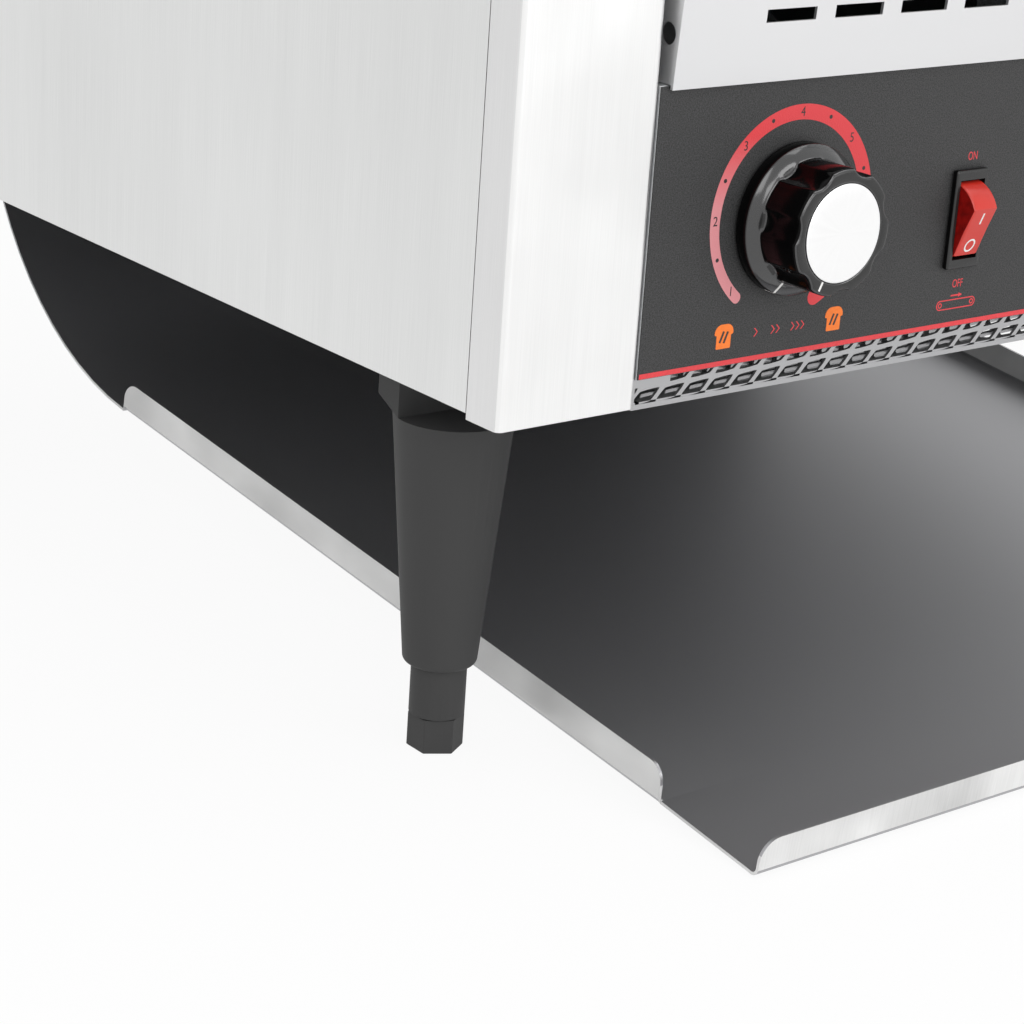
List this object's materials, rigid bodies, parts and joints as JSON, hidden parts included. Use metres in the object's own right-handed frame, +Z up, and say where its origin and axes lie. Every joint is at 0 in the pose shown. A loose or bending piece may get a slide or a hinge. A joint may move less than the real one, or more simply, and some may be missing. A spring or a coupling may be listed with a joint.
{
  "type": "conveyor toaster",
  "caption": "Countertop conveyor toaster in brushed steel with a wire belt, quartz tubes, speed knob, rockers, tapered legs and a curved toast chute.",
  "frame": {"origin": "centre of the bounding box's base, on the counter under the screw feet", "axes": "+X to the right seen from the front, +Y to the back, +Z up"},
  "size_m": [0.4838, 0.498, 0.387],
  "materials": {
    "side_panel": "brushed stainless, grain upright",
    "column": "brushed stainless, brighter, soft bend",
    "cover_steel": "brushed stainless, grain along the width",
    "rear_steel": "brushed stainless",
    "panel_steel": "brushed stainless",
    "film_print": "black matt speckled film with red and orange print",
    "guard_steel": "expanded stainless",
    "tray_steel": "brushed stainless, grain front to back",
    "knob_black": "glossy black",
    "turned_aluminium": "finely turned, bright",
    "bezel_black": "satin black",
    "rocker_red": "clear red with white marks",
    "leg_black": "moulded black, satin",
    "bolt_steel": "zinc-plated",
    "frame_steel": "mill finish",
    "wire_steel": "bright wire",
    "shaft_steel": "ground",
    "wheel_steel": "oiled",
    "pulley_aluminium": "turned",
    "belt_rubber": "black, flat",
    "bush_brass": "sintered bronze",
    "gear_case": "die cast",
    "motor_paint": "black paint",
    "quartz": "clear quartz",
    "coil_wire": "oxidised resistance wire",
    "ceramic": "off-white ceramic",
    "reflector_aluminium": "bright sheet",
    "control_zinc": "plated",
    "board_green": "green circuit board with finned sink",
    "terminal_white": "off-white nylon",
    "loom_black": "braided black sleeve",
    "gland_black": "black nylon"
  },
  "bodies": {
    "toaster": {"left_side_panel": "side_panel", "right_side_panel": "side_panel", "left_front_column": "column", "right_front_column": "column", "front_cover": "cover_steel", "top_cover": "cover_steel", "rear_panel": "rear_steel", "control_panel": "panel_steel", "panel_film": "film_print", "bottom_guard": "guard_steel", "train_housing": "bezel_black", "upper_heat_housing": "bezel_black", "lower_heat_housing": "bezel_black", "front_left_leg": "leg_black", "front_right_leg": "leg_black", "rear_left_leg": "leg_black", "rear_right_leg": "leg_black", "leg_bolts": "bolt_steel", "panel_screws": "bolt_steel", "left_inner_wall": "frame_steel", "right_inner_wall": "frame_steel", "left_base_rail": "frame_steel", "right_base_rail": "frame_steel", "heat_shield": "frame_steel", "rear_deflector": "frame_steel", "component_plate": "frame_steel", "tray_hanger": "frame_steel", "feed_rack": "wire_steel", "conveyor_belt": "wire_steel", "drive_belt": "belt_rubber", "shaft_bushes": "bush_brass", "gearbox": "gear_case", "motor_can": "motor_paint", "quartz_tubes": "quartz", "heating_coils": "coil_wire", "end_caps": "ceramic", "reflectors": "reflector_aluminium", "speed_control": "control_zinc", "speed_board": "board_green", "terminal_block": "terminal_white", "wiring_loom": "loom_black", "cord_gland": "gland_black"},
    "speed_knob": {"speed_knob": "knob_black", "knob_cap": "turned_aluminium", "knob_shaft": "shaft_steel"},
    "train_rocker": {"train_rocker": "rocker_red"},
    "upper_heat_rocker": {"upper_heat_rocker": "rocker_red"},
    "lower_heat_rocker": {"lower_heat_rocker": "rocker_red"},
    "toast_tray": {"toast_tray": "tray_steel"},
    "front_left_foot": {"front_left_foot": "leg_black"},
    "front_right_foot": {"front_right_foot": "leg_black"},
    "rear_left_foot": {"rear_left_foot": "leg_black"},
    "rear_right_foot": {"rear_right_foot": "leg_black"},
    "drive_shaft": {"drive_shaft": "shaft_steel", "drive_rollers": "wheel_steel", "driven_pulley": "pulley_aluminium"},
    "idler_shaft": {"idler_shaft": "shaft_steel", "idler_rollers": "wheel_steel"},
    "motor_shaft": {"motor_shaft": "shaft_steel", "motor_pulley": "pulley_aluminium"}
  },
  "joints": [
    {"name": "speed_knob_turn", "type": "hinge", "parent": "toaster", "child": "speed_knob", "pos_m": [-0.1356, -0.18305, 0.1722], "axis": [0, 1, 0], "range_deg": [0, 300]},
    {"name": "train_rocker_tip", "type": "hinge", "parent": "toaster", "child": "train_rocker", "pos_m": [-0.0623, -0.18105, 0.1647], "axis": [-1, 0, 0], "range_deg": [0, 44]},
    {"name": "upper_heat_rocker_tip", "type": "hinge", "parent": "toaster", "child": "upper_heat_rocker", "pos_m": [0.0357, -0.18105, 0.1647], "axis": [-1, 0, 0], "range_deg": [0, 44]},
    {"name": "lower_heat_rocker_tip", "type": "hinge", "parent": "toaster", "child": "lower_heat_rocker", "pos_m": [0.1337, -0.18105, 0.1647], "axis": [-1, 0, 0], "range_deg": [0, 44]},
    {"name": "toast_tray_lift", "type": "hinge", "parent": "toaster", "child": "toast_tray", "pos_m": [0, 0.21577, 0.1815], "axis": [-1, 0, 0], "range_deg": [0, 10]},
    {"name": "front_left_foot_level", "type": "slide", "parent": "toaster", "child": "front_left_foot", "axis": [0, 0, -1], "range_m": [0, 0.012]},
    {"name": "front_right_foot_level", "type": "slide", "parent": "toaster", "child": "front_right_foot", "axis": [0, 0, -1], "range_m": [0, 0.012]},
    {"name": "rear_left_foot_level", "type": "slide", "parent": "toaster", "child": "rear_left_foot", "axis": [0, 0, -1], "range_m": [0, 0.012]},
    {"name": "rear_right_foot_level", "type": "slide", "parent": "toaster", "child": "rear_right_foot", "axis": [0, 0, -1], "range_m": [0, 0.012]},
    {"name": "drive_shaft_turn", "type": "hinge", "parent": "toaster", "child": "drive_shaft", "pos_m": [0, 0.13695, 0.2695], "axis": [-1, 0, 0], "continuous": true},
    {"name": "idler_shaft_turn", "type": "hinge", "parent": "toaster", "child": "idler_shaft", "pos_m": [0, -0.1425, 0.2695], "axis": [-1, 0, 0], "continuous": true},
    {"name": "motor_shaft_turn", "type": "hinge", "parent": "toaster", "child": "motor_shaft", "pos_m": [0.19, 0.04812, 0.19757], "axis": [-1, 0, 0], "continuous": true}
  ],
  "couplings": [
    {"joint": "idler_shaft_turn", "follows": "drive_shaft_turn", "ratio": 1},
    {"joint": "motor_shaft_turn", "follows": "drive_shaft_turn", "ratio": 1}
  ]
}
